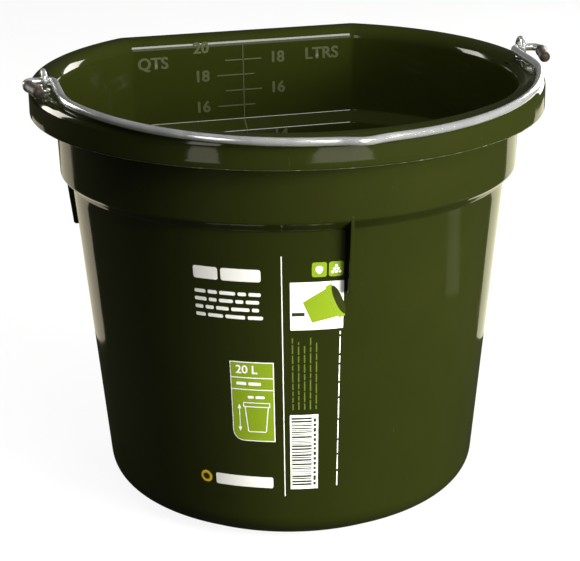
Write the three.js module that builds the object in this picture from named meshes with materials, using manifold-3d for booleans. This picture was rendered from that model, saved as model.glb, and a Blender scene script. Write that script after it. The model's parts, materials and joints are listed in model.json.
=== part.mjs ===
// Flat-backed feed and water bucket, about 20 litres, with a bent-wire bail that hooks into two
// steel eye bolts on the rim. Millimetres, +Z up. The shell is one injection moulding: a tapered
// tub that is round at the front and sides and flat at the back, a wider collar near the top,
// a rolled rim with a hanging skirt, three stacking fins and a foot ring. The eye bolts pass
// down through bosses hidden under the rim and are held there by washers and nuts. The bail's
// ends are U-shaped hooks that pass through the eyes, and each hook's tip wears a plastic cap.
// The origin is on the floor, under the middle of the whole object's box; the flat back faces +Y.

import * as THREE from "three";
import { mergeVertices, toCreasedNormals } from "three/addons/utils/BufferGeometryUtils.js";
import Module from "manifold-3d";

const wasm = await Module();
wasm.setup();

// ---- Driving dimensions ----

const HEIGHT = 310; // floor to rim crest
const RIM_RADIUS = 185; // outside of the rim's skirt
const LIP_Z = 288.5; // lower edge of the skirt
const WALL = 3; // thickness everywhere on the shell
const FLAT_SETBACK = 26.8; // how far the flat back lies inside the round outline

const FOOT_HEIGHT = 4;
const FOOT_RADIUS = 117.5;
const FOOT_WIDTH = 6;
const RECESS_DEPTH = 3; // hollow under the base, inside the foot ring
const FLOOR_Z = 7; // inside floor

const CORNER_RADIUS = 20; // between the base and the wall
const CORNER_CENTRE = new THREE.Vector2(118.1, FOOT_HEIGHT + CORNER_RADIUS);
const WALL_LEAN = THREE.MathUtils.degToRad(5.13); // the wall leans out by this much

const STEP_Z = 239.3; // where the wall meets the collar's underside, at the front
const STEP_SLOPE = Math.PI / 4; // the collar's underside, and the ledge inside it
const STEP_FALL = 0.0218; // the collar's underside and the ledge sink by this much per millimetre to the back
const COLLAR_ROUND = new THREE.Vector2(162.5, 248.4); // centre of the collar's lower rounding
const COLLAR_ROUND_RADIUS = 3;
const COLLAR_TOP = new THREE.Vector2(167.3, 300);
const LEDGE_Z = 240.6; // where the inside of the wall turns out to the ledge, at the front
const LEDGE_ROUND = new THREE.Vector2(160.5, 249.2); // centre of the rounding above the ledge
const LEDGE_ROUND_RADIUS = 2;

const RIM_INNER_ROUND = new THREE.Vector2(COLLAR_TOP.x + 7, COLLAR_TOP.y); // inner roll of the rim
const RIM_OUTER_ROUND = new THREE.Vector2(RIM_RADIUS - 7, HEIGHT - 7); // outer roll of the rim
const RIM_INNER_RADIUS = HEIGHT - RIM_INNER_ROUND.y;
const RIM_OUTER_RADIUS = HEIGHT - RIM_OUTER_ROUND.y;

const FIN_THICKNESS = 2.8;
const FIN_BOTTOM_Z = 195;
const FIN_DEPTH = 6.4; // how far it stands out at the bottom
const FIN_TOP = new THREE.Vector2(165.9, 250);
const FIN_ANGLES = [-90, 17, 163]; // degrees round the axis, from +X

const EYE = new THREE.Vector3(176, -10, 318.4); // centre of the right eye
const EYE_RING_RADIUS = 6; // to the middle of the ring's wire
const EYE_WIRE_RADIUS = 1.9;
const SHOULDER_RADIUS = 4;
const SHOULDER_HEIGHT = 1.6;
const SHANK_RADIUS = 2.5;
const HOLE_RADIUS = 2.8;
const SHANK_END_Z = 290.2;
const BOSS_Z = 298; // underside of the boss that the shank passes through
const WASHER_THICKNESS = 1;
const NUT_WASHER_RADIUS = 4.8;
const NUT_ACROSS_FLATS = 8;
const NUT_HEIGHT = 4;
const GAP = 0.3; // left between pieces that touch

const PIVOT_Z = 317.45; // the hooks hang low in the eyes, so the bail turns a little below their centres
const BAIL_WIRE_RADIUS = 2.8;
const BAIL_HALF_WIDTH = 176.5;
const BAIL_REACH = 181; // from the pivot line to the middle of the bail
const BAIL_NOTCH = 3.5; // extra rise of the bend in the middle, where the hand or a hook sits
const BAIL_NOTCH_WIDTH = 11;
const BAIL_DROP = THREE.MathUtils.degToRad(2.9); // it lies this far below level on the rim
const HOOK_BEND_RADIUS = 5.5;
const HOOK_LEG_X = 169.5; // leg of the hook, inboard of the eye
const HOOK_OUT_X = 188.8; // back of the hook, outboard of the eye
const HOOK_TURN_IN = THREE.MathUtils.degToRad(14); // the tip points this far inboard of straight ahead
const HOOK_TIP_LENGTH = 22;
const LEG_TO_BOW = [[169.6, 30], [169.3, 45]]; // last points of the leg before the bow

const CAP_RADIUS = 4.3;
const CAP_LENGTH = 22.5;
const CAP_WALL_AT_END = 3;

// ---- Materials ----

const olivePlastic = new THREE.MeshStandardMaterial({ color: 0x3a4517, roughness: 0.28, metalness: 0 });
const zincSteel = new THREE.MeshStandardMaterial({ color: 0xc4c8c8, roughness: 0.25, metalness: 1 });
const capPlastic = new THREE.MeshStandardMaterial({ color: 0x40322b, roughness: 0.5, metalness: 0 });

// ---- From geometry to solid and back ----

// A closed geometry as a manifold-3d solid, once its shared vertices are merged.
function solidOf(geometry) {
  const bare = (geometry.index ? geometry.toNonIndexed() : geometry.clone());
  bare.deleteAttribute("normal");
  bare.deleteAttribute("uv");
  const merged = mergeVertices(bare, 1e-3);
  const corners = merged.index.array;
  const kept = [];
  for (let i = 0; i < corners.length; i += 3) {
    const [a, b, c] = corners.subarray(i, i + 3);
    if (a !== b && b !== c && a !== c) kept.push(a, b, c);
  }
  return new wasm.Manifold(
    new wasm.Mesh({
      numProp: 3,
      vertProperties: merged.attributes.position.array,
      triVerts: new Uint32Array(kept),
    }),
  );
}

function namedMesh(name, solid, material) {
  const { vertProperties, triVerts } = solid.getMesh();
  const geometry = new THREE.BufferGeometry()
    .setAttribute("position", new THREE.BufferAttribute(vertProperties, 3))
    .setIndex(new THREE.BufferAttribute(triVerts, 1));
  const mesh = new THREE.Mesh(toCreasedNormals(geometry, Math.PI / 6), material);
  mesh.name = name;
  return mesh;
}

// The points of a path, without those that repeat the one before.
function pointsOf(path, arcSteps) {
  const points = path.getPoints(arcSteps);
  return points.filter((p, i) => i === 0 || p.distanceTo(points[i - 1]) > 0.02);
}

// Revolves an outline of (radius, height) points about the vertical axis.
function turned(points, segments) {
  return solidOf(new THREE.LatheGeometry(points, segments).rotateX(Math.PI / 2));
}

function upright(radius, bottomZ, topZ, x, y, segments = 24) {
  const geometry = new THREE.CylinderGeometry(radius, radius, topZ - bottomZ, segments)
    .rotateX(Math.PI / 2)
    .translate(x, y, (topZ + bottomZ) / 2);
  return solidOf(geometry);
}

// ---- Bucket shell ----

const SHELL_SEGMENTS = 72;
const FAR_FRONT = -250; // beyond the shell's front, where a back outline closes

// An outline turned into a solid that is round at the front and flat at the back.
function flatBacked(points) {
  const round = turned(points, SHELL_SEGMENTS);
  const side = points.filter((p) => p.x > 0).map((p) => new THREE.Vector2(p.x - FLAT_SETBACK, p.y));
  side.unshift(new THREE.Vector2(FAR_FRONT, points[0].y));
  side.push(new THREE.Vector2(FAR_FRONT, points[points.length - 1].y));
  const width = 2 * RIM_RADIUS + 20;
  const slab = new THREE.ExtrudeGeometry(new THREE.Shape(side), { depth: width, bevelEnabled: false })
    .translate(0, 0, -width / 2)
    .applyMatrix4(
      new THREE.Matrix4().makeBasis(
        new THREE.Vector3(0, 1, 0),
        new THREE.Vector3(0, 0, 1),
        new THREE.Vector3(1, 0, 0),
      ),
    );
  return round.intersect(solidOf(slab));
}

// Where the wall stands at a height, for a surface this far inside the outer one.
function wallRadius(z, inset = 0) {
  const foot = CORNER_CENTRE.x + CORNER_RADIUS / Math.cos(WALL_LEAN);
  return foot + (z - CORNER_CENTRE.y) * Math.tan(WALL_LEAN) - inset / Math.cos(WALL_LEAN);
}

function tubOutline() {
  const path = new THREE.Path();
  path.moveTo(0, 0);
  path.lineTo(FOOT_RADIUS, 0);
  path.lineTo(FOOT_RADIUS + 0.3, FOOT_HEIGHT - 0.2);
  path.absarc(...CORNER_CENTRE, CORNER_RADIUS, -Math.PI / 2, -WALL_LEAN);
  path.lineTo(wallRadius(STEP_Z), STEP_Z);
  path.absarc(...COLLAR_ROUND, COLLAR_ROUND_RADIUS, -STEP_SLOPE, 0);
  path.lineTo(...COLLAR_TOP);
  path.lineTo(COLLAR_TOP.x, COLLAR_TOP.y + WALL);
  path.lineTo(0, COLLAR_TOP.y + WALL);
  return pointsOf(path, 3);
}

function cavityOutline() {
  const path = new THREE.Path();
  path.moveTo(0, FLOOR_Z);
  path.lineTo(CORNER_CENTRE.x, FLOOR_Z);
  path.absarc(...CORNER_CENTRE, CORNER_RADIUS - WALL, -Math.PI / 2, -WALL_LEAN);
  path.lineTo(wallRadius(LEDGE_Z, WALL), LEDGE_Z);
  path.absarc(...LEDGE_ROUND, LEDGE_ROUND_RADIUS, -STEP_SLOPE, 0);
  path.absarc(...RIM_INNER_ROUND, RIM_INNER_RADIUS, Math.PI, Math.PI / 2, true);
  path.lineTo(RIM_INNER_ROUND.x, HEIGHT + 1);
  path.lineTo(0, HEIGHT + 1);
  return pointsOf(path, 3);
}

function rimOutline() {
  const path = new THREE.Path();
  path.moveTo(0, LIP_Z);
  path.lineTo(RIM_RADIUS, LIP_Z);
  path.absarc(...RIM_OUTER_ROUND, RIM_OUTER_RADIUS, 0, Math.PI / 2);
  path.lineTo(0, HEIGHT);
  return pointsOf(path, 3);
}

function channelOutline() {
  const path = new THREE.Path();
  path.moveTo(0, LIP_Z - 1);
  path.lineTo(RIM_RADIUS - WALL, LIP_Z - 1);
  path.absarc(...RIM_OUTER_ROUND, RIM_OUTER_RADIUS - WALL, 0, Math.PI / 2);
  path.absarc(...RIM_INNER_ROUND, RIM_INNER_RADIUS - WALL, Math.PI / 2, Math.PI);
  path.lineTo(0, COLLAR_TOP.y);
  return pointsOf(path, 3);
}

function stackingFin(angle) {
  const outline = new THREE.Shape();
  outline.moveTo(wallRadius(FIN_BOTTOM_Z, WALL / 2), FIN_BOTTOM_Z);
  outline.lineTo(wallRadius(FIN_BOTTOM_Z) + FIN_DEPTH, FIN_BOTTOM_Z);
  outline.lineTo(...FIN_TOP);
  outline.lineTo(FIN_TOP.x - WALL / 2, FIN_TOP.y);
  outline.lineTo(wallRadius(STEP_Z, WALL / 2), STEP_Z);
  const geometry = new THREE.ExtrudeGeometry(outline, { depth: FIN_THICKNESS, bevelEnabled: false })
    .translate(0, 0, -FIN_THICKNESS / 2)
    .rotateX(Math.PI / 2)
    .rotateZ(THREE.MathUtils.degToRad(angle));
  return solidOf(geometry);
}

function eyeBoss(side) {
  const inner = COLLAR_TOP.x - 1.5;
  const outer = RIM_RADIUS - WALL / 2;
  const halfLength = 7;
  const geometry = new THREE.BoxGeometry(outer - inner, 2 * halfLength, HEIGHT - 2 - BOSS_Z)
    .translate((side * (outer + inner)) / 2, EYE.y, (HEIGHT - 2 + BOSS_Z) / 2);
  return solidOf(geometry);
}

// Lets the collar's underside, the ledge and the fins' tops sink towards the back. The fall fades
// out down to the fins' bottoms and up to the top of the collar.
function sunkTowardsBack(shell) {
  return shell.warp((point) => {
    const [, y, z] = point;
    const fromBelow = THREE.MathUtils.clamp((z - FIN_BOTTOM_Z) / (STEP_Z - FIN_BOTTOM_Z), 0, 1);
    const fromAbove = THREE.MathUtils.clamp((COLLAR_TOP.y - z) / (COLLAR_TOP.y - LEDGE_ROUND.y), 0, 1);
    point[2] = z - STEP_FALL * (y + wallRadius(STEP_Z)) * fromBelow * fromAbove;
  });
}

function bucketShell() {
  const recess = flatBacked([
    new THREE.Vector2(0, -1),
    new THREE.Vector2(FOOT_RADIUS - FOOT_WIDTH, -1),
    new THREE.Vector2(FOOT_RADIUS - FOOT_WIDTH, RECESS_DEPTH),
    new THREE.Vector2(0, RECESS_DEPTH),
  ]);
  let shell = flatBacked(rimOutline()).subtract(flatBacked(channelOutline())).add(flatBacked(tubOutline()));
  for (const side of [-1, 1]) shell = shell.add(eyeBoss(side));
  shell = shell.subtract(flatBacked(cavityOutline())).subtract(recess);
  for (const angle of FIN_ANGLES) shell = shell.add(stackingFin(angle));
  shell = sunkTowardsBack(shell);
  for (const side of [-1, 1]) {
    shell = shell.subtract(upright(HOLE_RADIUS, BOSS_Z - 2, HEIGHT + 2, side * EYE.x, EYE.y));
  }
  return namedMesh("bucket_shell", shell, olivePlastic);
}

// ---- Eye bolts and what holds them ----

const EYE_SHOULDER_Z = HEIGHT + GAP;
const NUT_WASHER_Z = BOSS_Z - GAP - WASHER_THICKNESS;

function eyeBolt(side, name) {
  const ring = solidOf(
    new THREE.TorusGeometry(EYE_RING_RADIUS, EYE_WIRE_RADIUS, 10, 24)
      .rotateY(Math.PI / 2)
      .translate(side * EYE.x, EYE.y, EYE.z),
  );
  const shoulderTop = EYE_SHOULDER_Z + SHOULDER_HEIGHT;
  const shoulder = upright(SHOULDER_RADIUS, EYE_SHOULDER_Z, shoulderTop, side * EYE.x, EYE.y);
  const shank = upright(SHANK_RADIUS, SHANK_END_Z, EYE_SHOULDER_Z + 1, side * EYE.x, EYE.y);
  return namedMesh(name, ring.add(shoulder).add(shank), zincSteel);
}

function washer(side, name) {
  const outline = [
    new THREE.Vector2(HOLE_RADIUS, 0),
    new THREE.Vector2(NUT_WASHER_RADIUS, 0),
    new THREE.Vector2(NUT_WASHER_RADIUS, WASHER_THICKNESS),
    new THREE.Vector2(HOLE_RADIUS, WASHER_THICKNESS),
    new THREE.Vector2(HOLE_RADIUS, 0),
  ];
  const mesh = namedMesh(name, turned(outline, 24), zincSteel);
  mesh.position.set(side * EYE.x, EYE.y, NUT_WASHER_Z);
  return mesh;
}

function hexNut(side, name) {
  const top = NUT_WASHER_Z - GAP;
  const corner = NUT_ACROSS_FLATS / Math.sqrt(3);
  const block = solidOf(
    new THREE.CylinderGeometry(corner, corner, NUT_HEIGHT, 6)
      .rotateX(Math.PI / 2)
      .translate(0, 0, NUT_HEIGHT / 2),
  );
  const mesh = namedMesh(name, block.subtract(upright(HOLE_RADIUS, -1, NUT_HEIGHT + 1, 0, 0)), zincSteel);
  mesh.position.set(side * EYE.x, EYE.y, top - NUT_HEIGHT);
  return mesh;
}

// ---- Bail and its caps ----

// The right half of the bail's middle line, from the hook's tip to the notch, in the bail's own
// plane: x across the bucket, y ahead of the pivot line.
function halfBail() {
  const hook = new THREE.Path();
  const turn = HOOK_TURN_IN;
  const outBend = new THREE.Vector2(HOOK_OUT_X - HOOK_BEND_RADIUS, HOOK_BEND_RADIUS);
  const inBend = new THREE.Vector2(HOOK_LEG_X + HOOK_BEND_RADIUS, HOOK_BEND_RADIUS);
  const tipStart = hookTipStart();
  const along = hookTipDirection();
  hook.moveTo(tipStart.x + along.x * HOOK_TIP_LENGTH, tipStart.y + along.y * HOOK_TIP_LENGTH);
  hook.lineTo(tipStart.x + along.x * HOOK_TIP_LENGTH / 2, tipStart.y + along.y * HOOK_TIP_LENGTH / 2);
  hook.absarc(...outBend, HOOK_BEND_RADIUS, turn, -Math.PI / 2, true);
  hook.absarc(...inBend, HOOK_BEND_RADIUS, -Math.PI / 2, -Math.PI, true);
  for (const [x, y] of LEG_TO_BOW) hook.lineTo(x, y);
  const points = pointsOf(hook, 3);
  const bowStart = 0.33; // radians round the bow, where the leg runs into it
  const bowSteps = 26;
  for (let i = 0; i <= bowSteps; i++) {
    const t = THREE.MathUtils.lerp(bowStart, Math.PI / 2, i / bowSteps);
    const x = BAIL_HALF_WIDTH * Math.cos(t);
    const notch = BAIL_NOTCH * Math.exp(-((x / BAIL_NOTCH_WIDTH) ** 2));
    points.push(new THREE.Vector2(x, BAIL_REACH * Math.sin(t) + notch));
  }
  return points;
}

function hookTipStart() {
  return new THREE.Vector2(
    HOOK_OUT_X - HOOK_BEND_RADIUS + HOOK_BEND_RADIUS * Math.cos(HOOK_TURN_IN),
    HOOK_BEND_RADIUS + HOOK_BEND_RADIUS * Math.sin(HOOK_TURN_IN),
  );
}

function hookTipDirection() {
  return new THREE.Vector2(-Math.sin(HOOK_TURN_IN), Math.cos(HOOK_TURN_IN));
}

function bail() {
  const right = halfBail();
  const left = right.slice(0, -1).reverse().map((p) => new THREE.Vector2(-p.x, p.y));
  const line = [...right, ...left].map((p) => new THREE.Vector3(p.x, -p.y, 0));
  const section = new THREE.Shape().absarc(0, 0, BAIL_WIRE_RADIUS, 0, 2 * Math.PI);
  const geometry = new THREE.ExtrudeGeometry(section, {
    extrudePath: new THREE.CatmullRomCurve3(line, false, "centripetal"),
    steps: 140,
    curveSegments: 4,
  });
  return namedMesh("bail", solidOf(geometry), zincSteel);
}

// A moulded sleeve with a domed end, closed over the hook's tip.
function hookCap(side, name) {
  const bore = BAIL_WIRE_RADIUS + GAP;
  const outline = new THREE.Path();
  outline.moveTo(0, CAP_LENGTH - CAP_WALL_AT_END);
  outline.lineTo(bore, CAP_LENGTH - CAP_WALL_AT_END);
  outline.lineTo(bore, 0);
  outline.lineTo(CAP_RADIUS - 1, 0);
  outline.absarc(CAP_RADIUS - 1, 1, 1, -Math.PI / 2, 0);
  outline.absarc(CAP_RADIUS - 4, CAP_LENGTH - 4, 4, 0, Math.PI / 2);
  outline.lineTo(0, CAP_LENGTH);
  const mesh = namedMesh(name, turned(pointsOf(outline, 3), 16), capPlastic);
  const start = hookTipStart();
  const along = hookTipDirection();
  const ahead = HOOK_TIP_LENGTH + GAP + CAP_WALL_AT_END - CAP_LENGTH;
  mesh.position.set(side * (start.x + along.x * ahead), -(start.y + along.y * ahead), 0);
  mesh.quaternion.setFromUnitVectors(
    new THREE.Vector3(0, 0, 1),
    new THREE.Vector3(side * along.x, -along.y, 0),
  );
  return mesh;
}

// ---- Assembly ----

const bailGroup = new THREE.Group();
bailGroup.add(bail(), hookCap(-1, "hook_cap_left"), hookCap(1, "hook_cap_right"));
bailGroup.position.set(0, EYE.y, PIVOT_Z);
bailGroup.rotation.x = BAIL_DROP;

const bucket = new THREE.Group();
bucket.add(bucketShell(), bailGroup);
for (const [side, hand] of [[-1, "left"], [1, "right"]]) {
  bucket.add(
    eyeBolt(side, `eye_bolt_${hand}`),
    washer(side, `nut_washer_${hand}`),
    hexNut(side, `hex_nut_${hand}`),
  );
}

// The middle of the whole object's box goes over the origin.
bucket.updateMatrixWorld(true);
const box = new THREE.Box3().setFromObject(bucket, true);
bucket.position.y = -(box.min.y + box.max.y) / 2;

export default bucket;
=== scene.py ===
import json
import math
import random

import bmesh
import bpy
import numpy as np
from mathutils import Matrix, Vector


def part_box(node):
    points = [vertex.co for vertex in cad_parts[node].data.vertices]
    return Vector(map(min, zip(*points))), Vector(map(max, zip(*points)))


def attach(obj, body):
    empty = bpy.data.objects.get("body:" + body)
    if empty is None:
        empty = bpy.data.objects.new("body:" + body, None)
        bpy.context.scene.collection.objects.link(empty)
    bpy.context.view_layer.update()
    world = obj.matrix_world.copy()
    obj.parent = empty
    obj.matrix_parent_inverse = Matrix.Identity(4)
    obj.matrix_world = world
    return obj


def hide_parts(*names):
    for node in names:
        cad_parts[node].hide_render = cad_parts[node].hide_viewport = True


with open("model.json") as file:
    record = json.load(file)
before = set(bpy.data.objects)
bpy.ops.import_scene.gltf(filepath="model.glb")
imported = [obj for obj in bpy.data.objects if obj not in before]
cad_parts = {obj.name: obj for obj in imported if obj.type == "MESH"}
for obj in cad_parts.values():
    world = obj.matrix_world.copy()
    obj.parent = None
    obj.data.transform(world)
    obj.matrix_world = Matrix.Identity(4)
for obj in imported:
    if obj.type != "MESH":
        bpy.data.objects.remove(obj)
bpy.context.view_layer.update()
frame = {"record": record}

# ---- Bucket shell ----
# The tub, collar, rolled rim and foot ring are one injection moulding in dark olive polypropylene.
# It is round in front and flat behind, tapers so that it leaves the mould and stacks, and has the
# high gloss of a polished mould with the faint waviness of cooled plastic.

shell_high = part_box("bucket_shell")[1]
RIM_RADIUS = 0.185
FLAT_SETBACK = 0.0268
AXIS_Y = shell_high.y - (RIM_RADIUS - FLAT_SETBACK)
WALL = 0.003
LEAN_DEGREES = 5.13
WALL_LEAN = math.radians(LEAN_DEGREES)
CORNER = (0.1181, 0.0240)
CORNER_ROUND = 0.020
WALL_FOOT = CORNER[0] + CORNER_ROUND / math.cos(WALL_LEAN)
BASE_EDGE, BASE_UNDER, BASE_INSIDE = 0.109, 0.003, 0.007
RIM_Z, RIM_LOWEST = 0.300, 0.287
RIM_CORNER, TUB_CORNER = 0.0095, 0.007
FIN_FOOT = 0.195
STEP_FRONT, STEP_FALL = 0.1575, 0.0218
FALL_BELOW, FALL_ABOVE = 0.0443, 0.0508
LONGEST_RUN = 0.006


def wall_radius(z, inset=0.0):
    """Radius of the tapered wall at a height, this far inside its outer face."""
    return WALL_FOOT + (z - CORNER[1]) * math.tan(WALL_LEAN) - inset / math.cos(WALL_LEAN)


def arc(centre, radius, start, end, steps):
    """Points (radius, height) along a rounding, angles in degrees from outward."""
    turns = np.radians(np.linspace(start, end, steps + 1))
    return [(centre[0] + radius * math.cos(t), centre[1] + radius * math.sin(t)) for t in turns]


def spread(points, longest):
    """The same outline with its long runs divided into steps of at most longest."""
    out = [points[0]]
    for a, b in zip(points, points[1:]):
        length = math.dist(a, b)
        if length < 2e-5:
            continue
        steps = max(1, math.ceil(length / longest))
        for i in range(1, steps + 1):
            out.append((a[0] + (b[0] - a[0]) * i / steps, a[1] + (b[1] - a[1]) * i / steps))
    return out


foot_ring = (
    [(BASE_EDGE, BASE_UNDER)]
    + arc((0.1100, 0.0015), 0.0015, 90, 0, 4)
    + arc((0.1127, 0.0012), 0.0012, 180, 270, 4)
    + arc((0.1163, 0.0012), 0.0012, -90, 0, 4)
    + arc((0.1184, 0.0031), 0.0008, 180, 105, 3)
)
outside = (
    arc(CORNER, CORNER_ROUND, -88, -LEAN_DEGREES, 20)
    + [(wall_radius(0.2388), 0.2388), (wall_radius(0.2391) + 0.00006, 0.2391), (0.15790, 0.23970)]
    + arc((0.1625, 0.2484), 0.0030, -45, -2, 7)
    + [(0.1673, RIM_Z)]
)
rolled_rim = (
    arc((0.1743, RIM_Z), 0.0070, 180, 90, 8)
    + arc((0.1780, 0.3030), 0.0040, 90, 0, 6)
    + arc((0.1830, 0.2895), 0.0010, 180, 270, 4)
    + arc((0.1840, 0.2895), 0.0010, -90, 0, 4)
    + arc((0.1780, 0.3030), 0.0070, 0, 90, 12)
    + arc((0.1743, RIM_Z), 0.0100, 90, 180, 14)
)
inside = (
    arc((0.1602, 0.24933), 0.0023, -2, -45, 6)
    + arc((0.1574, 0.2390), 0.0028, 134, 172, 6)
    + [(wall_radius(0.2385, WALL), 0.2385)]
    + arc(CORNER, CORNER_ROUND - WALL, -LEAN_DEGREES, -90, 16)
    + [(BASE_EDGE, BASE_INSIDE)]
)
shell_outline = spread(foot_ring + outside + rolled_rim + inside, LONGEST_RUN)


def sunk(y, z):
    """The step and the ledge inside it sink towards the back; this gives a point's real height."""
    from_below = min(max((z - FIN_FOOT) / FALL_BELOW, 0), 1)
    from_above = min(max((RIM_Z - z) / FALL_ABOVE, 0), 1)
    return z - STEP_FALL * (y + STEP_FRONT) * from_below * from_above


def flat_backed(radius, corner):
    """One turn round the bucket at a radius: round, then a small corner, then flat behind."""
    flat = radius - FLAT_SETBACK
    corner_x = math.sqrt((radius - corner) ** 2 - (flat - corner) ** 2)
    corner_y = flat - corner
    tangent = math.atan2(corner_y, corner_x)
    ring = []
    for t in np.linspace(-math.pi / 2, tangent, 121)[:-1]:
        ring.append((radius * math.cos(t), radius * math.sin(t)))
    for t in np.linspace(tangent, math.pi / 2, 9)[:-1]:
        ring.append((corner_x + corner * math.cos(t), corner_y + corner * math.sin(t)))
    for x in np.linspace(corner_x, -corner_x, 33)[:-1]:
        ring.append((x, flat))
    for t in np.linspace(math.pi / 2, math.pi - tangent, 9)[:-1]:
        ring.append((-corner_x + corner * math.cos(t), corner_y + corner * math.sin(t)))
    for t in np.linspace(math.pi - tangent, 1.5 * math.pi, 121)[:-1]:
        ring.append((radius * math.cos(t), radius * math.sin(t)))
    return ring


def mounted(name, mesh, material, body="bucket"):
    """Makes a mesh an object that moves with one of the bucket's bodies."""
    mesh.materials.append(material)
    item = bpy.data.objects.new(name, mesh)
    bpy.context.collection.objects.link(item)
    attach(item, body)
    return item


def smoothed(mesh):
    """Shades all of a mesh smooth."""
    mesh.polygons.foreach_set("use_smooth", [True] * len(mesh.polygons))


def piece(name, verts, faces, material, body="bucket"):
    """A smooth-shaded piece from its points and faces."""
    mesh = bpy.data.meshes.new(name)
    mesh.from_pydata([tuple(v) for v in verts], [], faces)
    smoothed(mesh)
    mesh.update()
    return mounted(name, mesh, material, body)


def node_group(name, inputs, outputs):
    """An empty node group with named sockets, each (name, kind, default)."""
    group = bpy.data.node_groups.new(name, "ShaderNodeTree")
    for socket, kind, default in inputs:
        made = group.interface.new_socket(name=socket, in_out="INPUT", socket_type=kind)
        made.default_value = default
    for socket, kind in outputs:
        group.interface.new_socket(name=socket, in_out="OUTPUT", socket_type=kind)
    return group, group.nodes.new("NodeGroupInput"), group.nodes.new("NodeGroupOutput")


def node(tree, kind, links=(), **settings):
    """Adds a node; settings that start with in_ set its sockets, links feed them."""
    made = tree.nodes.new(kind)
    for key, value in settings.items():
        if key.startswith("in_"):
            index = int(key[3:])
            made.inputs[index].default_value = value
        else:
            setattr(made, key, value)
    for index, source in links:
        tree.links.new(source, made.inputs[index])
    return made


def put(tree, socket, value):
    """Sets a socket to a number or colour, or links it."""
    if isinstance(value, (float, tuple)):
        socket.default_value = value
    else:
        tree.links.new(value, socket)


def fed(tree, target, **sources):
    """Links values or colours to a node's sockets by name."""
    for key, source in sources.items():
        tree.links.new(source, target.inputs[key.replace("_", " ")])


def own_place(tree):
    """Coordinates on the piece itself."""
    return node(tree, "ShaderNodeTexCoord").outputs["Object"]


def noise(tree, place, scale, detail, rough=0.5):
    """Cloudy noise from 0 to 1; scale is a number or a socket."""
    made = node(tree, "ShaderNodeTexNoise", [(0, place)], in_3=detail, in_4=rough)
    put(tree, made.inputs["Scale"], scale)
    return made.outputs[0]


def sums(tree, operation, *values):
    """Arithmetic on numbers or sockets."""
    made = node(tree, "ShaderNodeMath", operation=operation)
    for index, value in enumerate(values):
        put(tree, made.inputs[index], value)
    return made.outputs[0]


def ranged(tree, source, low, high, start=0.0, stop=1.0):
    """A value that runs from low to high while its source runs from start to stop."""
    made = node(tree, "ShaderNodeMapRange", [(0, source)], in_1=start, in_2=stop, in_3=low, in_4=high)
    return made.outputs[0]


def ramp(tree, source, stops):
    """A colour ramp on a value, stops are (place, grey or colour)."""
    made = node(tree, "ShaderNodeValToRGB", [(0, source)])
    bar = made.color_ramp.elements
    while len(bar) < len(stops):
        bar.new(0.5)
    for element, (place, colour) in zip(bar, stops):
        element.position = place
        element.color = colour if isinstance(colour, tuple) else (colour, colour, colour, 1)
    return made.outputs["Color"]


# Moulded surface: the slow waviness that bends reflections, the fine skin of the plastic, and the
# cloudy patches of slightly different gloss that cooling leaves. Height is for a bump node.
moulded, moulded_in, moulded_out = node_group(
    "MouldedSurface",
    [
        ("Wave Size", "NodeSocketFloat", 18.0),
        ("Skin Size", "NodeSocketFloat", 900.0),
        ("Skin Share", "NodeSocketFloat", 0.08),
    ],
    [("Height", "NodeSocketFloat"), ("Patches", "NodeSocketFloat")],
)
moulded_place = own_place(moulded)
moulded_wave = noise(moulded, moulded_place, moulded_in.outputs["Wave Size"], 2.0, 0.4)
moulded_skin = noise(moulded, moulded_place, moulded_in.outputs["Skin Size"], 3.0, 0.55)
moulded_skin = sums(moulded, "MULTIPLY", moulded_skin, moulded_in.outputs["Skin Share"])
moulded_cloud = noise(moulded, moulded_place, 9.0, 4.0, 0.6)
fed(
    moulded,
    moulded_out,
    Height=sums(moulded, "ADD", moulded_wave, moulded_skin),
    Patches=ramp(moulded, moulded_cloud, [(0.32, 0.0), (0.7, 1.0)]),
)

# Handling wear: fine scratches in two directions and a few soft scuffs, in patches, as a bucket
# gets from stacking and carrying. Marks and Scuffs are masks from 0 to 1.
wear, wear_in, wear_out = node_group(
    "HandlingWear",
    [
        ("Scratch Size", "NodeSocketFloat", 60.0),
        ("Amount", "NodeSocketFloat", 0.5),
    ],
    [("Marks", "NodeSocketFloat"), ("Scuffs", "NodeSocketFloat")],
)
wear_place = own_place(wear)
wear_lines = []
for turn, squeeze in (((0.3, 0.2, 0.9), (1.0, 1.0, 16.0)), ((1.1, 0.5, 0.2), (14.0, 1.0, 1.0))):
    mapped = node(wear, "ShaderNodeMapping", [(0, wear_place)], in_2=turn, in_3=squeeze)
    lines = noise(wear, mapped.outputs[0], wear_in.outputs["Scratch Size"], 5.0, 0.7)
    wear_lines.append(ramp(wear, lines, [(0.66, 0.0), (0.72, 1.0)]))
wear_patch = ramp(wear, noise(wear, wear_place, 22.0, 3.0), [(0.5, 0.0), (0.68, 1.0)])
wear_here = sums(wear, "MULTIPLY", sums(wear, "MAXIMUM", *wear_lines), wear_patch)
fed(
    wear,
    wear_out,
    Marks=sums(wear, "MULTIPLY", wear_here, wear_in.outputs["Amount"]),
    Scuffs=sums(wear, "MULTIPLY", wear_patch, wear_in.outputs["Amount"]),
)


def placed(tree, group, **values):
    """A node group in a material, its named inputs set."""
    made = tree.nodes.new("ShaderNodeGroup")
    made.node_tree = group
    for key, value in values.items():
        made.inputs[key.replace("_", " ")].default_value = value
    return made


def mixed(tree, factor, first, second):
    """Colour mix; first and second are colours or sockets."""
    made = node(tree, "ShaderNodeMix", data_type="RGBA")
    for index, value in ((0, factor), (6, first), (7, second)):
        put(tree, made.inputs[index], value)
    return made.outputs[2]


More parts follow.
